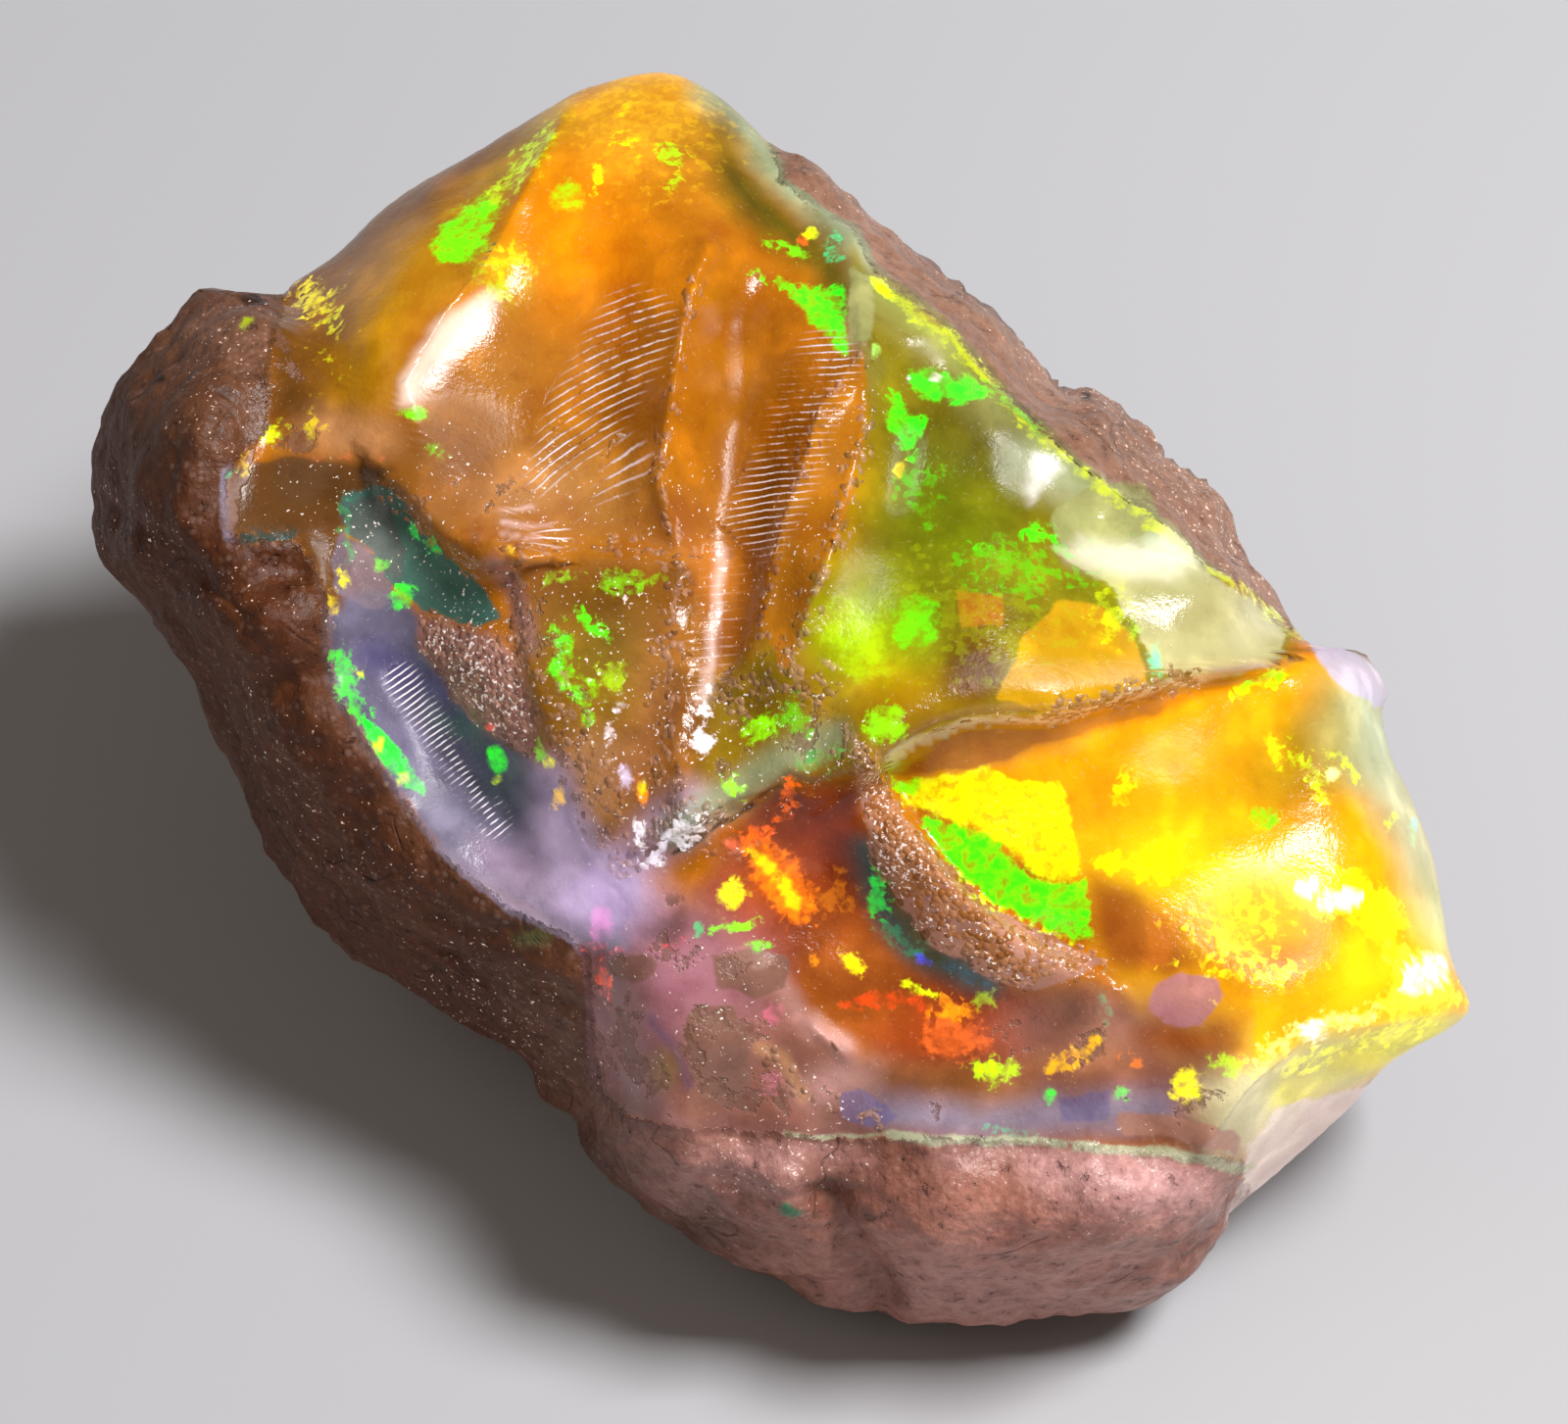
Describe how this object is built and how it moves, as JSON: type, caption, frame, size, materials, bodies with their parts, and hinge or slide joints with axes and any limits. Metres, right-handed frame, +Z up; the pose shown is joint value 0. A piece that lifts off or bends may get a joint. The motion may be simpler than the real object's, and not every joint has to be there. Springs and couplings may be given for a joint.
{
  "type": "rough fire opal nodule",
  "caption": "Rough fire opal nodule: a lumpy stone with a brown granular rind and a broken, glassy amber face of bowls, ridges and ledges, resting on its flattened underside.",
  "frame": {"origin": "on the ground, under the middle of the stone's bounding box", "axes": "+X along the stone's longest side, +Z up from the flattened underside it rests on, broken face towards -Y and +Z"},
  "size_m": [0.0689, 0.0566, 0.0409],
  "materials": {
    "opal": "wet-looking amber opal glass with bright spectral flashes on the broken face, and a brown granular rind round it"
  },
  "bodies": {
    "root": {"rough_fire_opal": "opal"}
  },
  "joints": []
}
